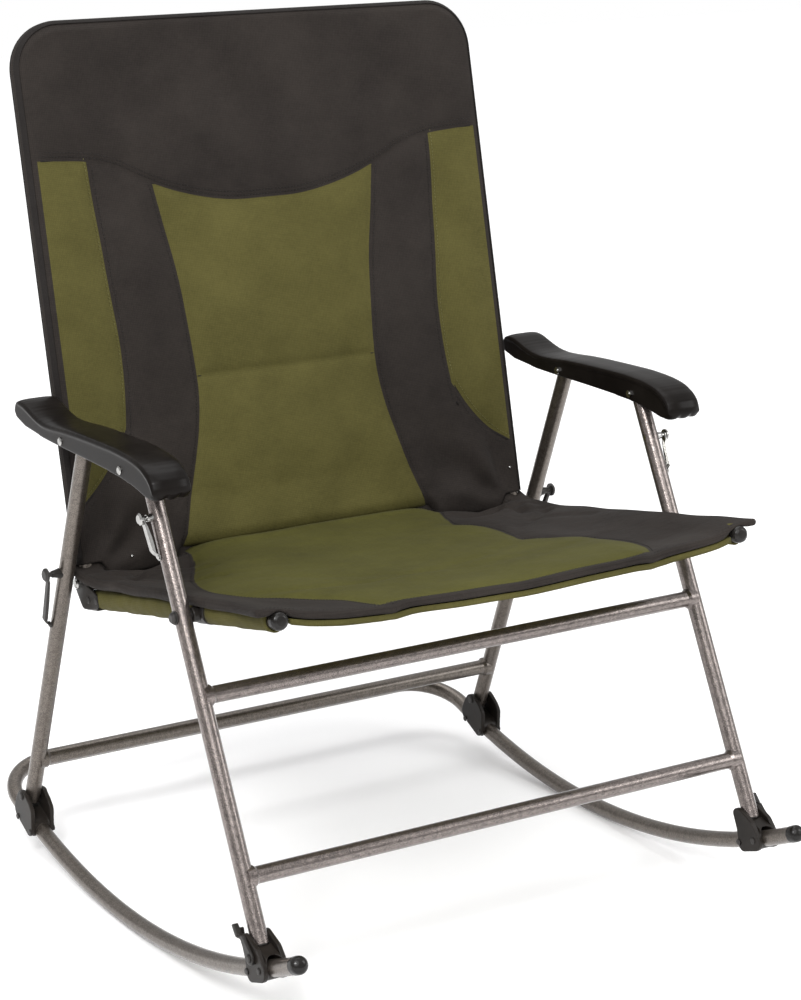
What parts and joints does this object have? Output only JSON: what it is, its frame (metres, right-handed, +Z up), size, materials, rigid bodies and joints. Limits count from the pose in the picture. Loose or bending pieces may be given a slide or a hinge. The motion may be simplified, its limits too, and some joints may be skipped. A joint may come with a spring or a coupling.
{
  "type": "camp rocking chair",
  "caption": "Folding camp rocking chair: bent tube rockers, crossed tube legs, padded fabric seat and high back, moulded armrests and spring latches.",
  "frame": {"origin": "on the floor, at the middle of the chair's bounding box seen from above", "axes": "+Z up; the sitter faces -Y; +X is the sitter's left"},
  "size_m": [0.7624, 0.8181, 1.0531],
  "materials": {
    "frame_bronze": "satin",
    "frame_taupe": "satin",
    "black_steel": "satin",
    "bright_steel": "polished",
    "black_plastic": "satin",
    "seat_fabric": "matte",
    "back_fabric": "matte"
  },
  "bodies": {
    "rocker": {"runner_left": "frame_taupe", "runner_right": "frame_taupe", "rocker_rear_loop": "frame_taupe", "end_cap_left": "black_plastic", "end_cap_right": "black_plastic", "rear_clamp_left": "black_plastic", "rear_clamp_right": "black_plastic", "front_clamp_left": "black_plastic", "front_clamp_right": "black_plastic", "clamp_screws": "black_steel", "rear_pivot_pins": "black_steel", "catch_screws": "black_steel"},
    "catch_left": {"catch_lever_left": "black_plastic"},
    "catch_right": {"catch_lever_right": "black_plastic"},
    "rear_frame": {"rear_leg_left": "frame_taupe", "rear_leg_right": "frame_taupe", "rear_crossbar": "frame_taupe", "rear_leg_plugs": "black_plastic", "rear_latch_spring_left": "black_steel", "rear_latch_spring_right": "black_steel", "rear_latch_rivets": "black_steel"},
    "rear_latch_left": {"rear_latch_pin_left": "black_steel"},
    "rear_latch_right": {"rear_latch_pin_right": "black_steel"},
    "armrests": {"armrest_left": "black_plastic", "armrest_right": "black_plastic", "armrest_bolts": "bright_steel", "armrest_nuts": "bright_steel"},
    "front_frame": {"front_leg_left": "frame_bronze", "front_leg_right": "frame_bronze", "front_crossbar_upper": "frame_bronze", "front_crossbar_lower": "frame_bronze", "front_leg_plugs": "black_plastic", "seat_pivot_bolts": "bright_steel", "seat_pivot_nuts": "bright_steel", "front_latch_spring_left": "bright_steel", "front_latch_spring_right": "bright_steel", "front_latch_rivets": "bright_steel"},
    "front_latch_left": {"front_latch_pin_left": "bright_steel"},
    "front_latch_right": {"front_latch_pin_right": "bright_steel"},
    "seat_frame": {"seat_rail_left": "frame_taupe", "seat_rail_right": "frame_taupe", "rail_cap_left": "black_plastic", "rail_cap_right": "black_plastic", "seat_spacers": "black_plastic", "back_bracket_left": "black_steel", "back_bracket_right": "black_steel", "bracket_rivets": "bright_steel", "back_hinge_bolts": "bright_steel", "back_hinge_nuts": "bright_steel", "seat_pad": "seat_fabric"},
    "backrest": {"back_tube": "frame_taupe", "back_tube_plugs": "black_plastic", "back_pad": "back_fabric"}
  },
  "joints": [
    {"name": "rear_fold", "type": "hinge", "parent": "rocker", "child": "rear_frame", "pos_m": [0, 0.286, 0.078], "axis": [1, 0, 0], "range_deg": [0, 12]},
    {"name": "armrest_fold", "type": "hinge", "parent": "rear_frame", "child": "armrests", "pos_m": [0, 0.089, 0.592], "axis": [-1, 0, 0], "range_deg": [0, 59]},
    {"name": "front_fold", "type": "hinge", "parent": "armrests", "child": "front_frame", "pos_m": [0, -0.067, 0.592], "axis": [1, 0, 0], "range_deg": [0, 98]},
    {"name": "seat_fold", "type": "hinge", "parent": "front_frame", "child": "seat_frame", "pos_m": [0, -0.147, 0.4362], "axis": [-1, 0, 0], "range_deg": [0, 84]},
    {"name": "back_fold", "type": "hinge", "parent": "seat_frame", "child": "backrest", "pos_m": [0, 0.166, 0.389], "axis": [1, 0, 0], "range_deg": [0, 68]},
    {"name": "catch_left", "type": "hinge", "parent": "rocker", "child": "catch_left", "pos_m": [0.364, -0.326, 0.096], "axis": [-1, 0, 0], "range_deg": [0, 35], "stiffness_Nm_per_rad": 0.05, "springref_deg": -20.05},
    {"name": "front_latch_left", "type": "slide", "parent": "front_frame", "child": "front_latch_left", "axis": [1, 0, 0], "range_m": [0, 0.008], "stiffness_N_per_m": 600, "springref_m": -0.005},
    {"name": "rear_latch_left", "type": "slide", "parent": "rear_frame", "child": "rear_latch_left", "axis": [1, 0, 0], "range_m": [0, 0.008], "stiffness_N_per_m": 600, "springref_m": -0.005},
    {"name": "catch_right", "type": "hinge", "parent": "rocker", "child": "catch_right", "pos_m": [-0.364, -0.326, 0.096], "axis": [-1, 0, 0], "range_deg": [0, 35], "stiffness_Nm_per_rad": 0.05, "springref_deg": -20.05},
    {"name": "front_latch_right", "type": "slide", "parent": "front_frame", "child": "front_latch_right", "axis": [-1, 0, 0], "range_m": [0, 0.008], "stiffness_N_per_m": 600, "springref_m": -0.005},
    {"name": "rear_latch_right", "type": "slide", "parent": "rear_frame", "child": "rear_latch_right", "axis": [-1, 0, 0], "range_m": [0, 0.008], "stiffness_N_per_m": 600, "springref_m": -0.005}
  ],
  "couplings": [
    {"joint": "rear_fold", "follows": "front_fold", "ratio": 0.12},
    {"joint": "armrest_fold", "follows": "front_fold", "ratio": 0.6},
    {"joint": "seat_fold", "follows": "front_fold", "ratio": 0.85},
    {"joint": "back_fold", "follows": "front_fold", "ratio": 0.69}
  ]
}
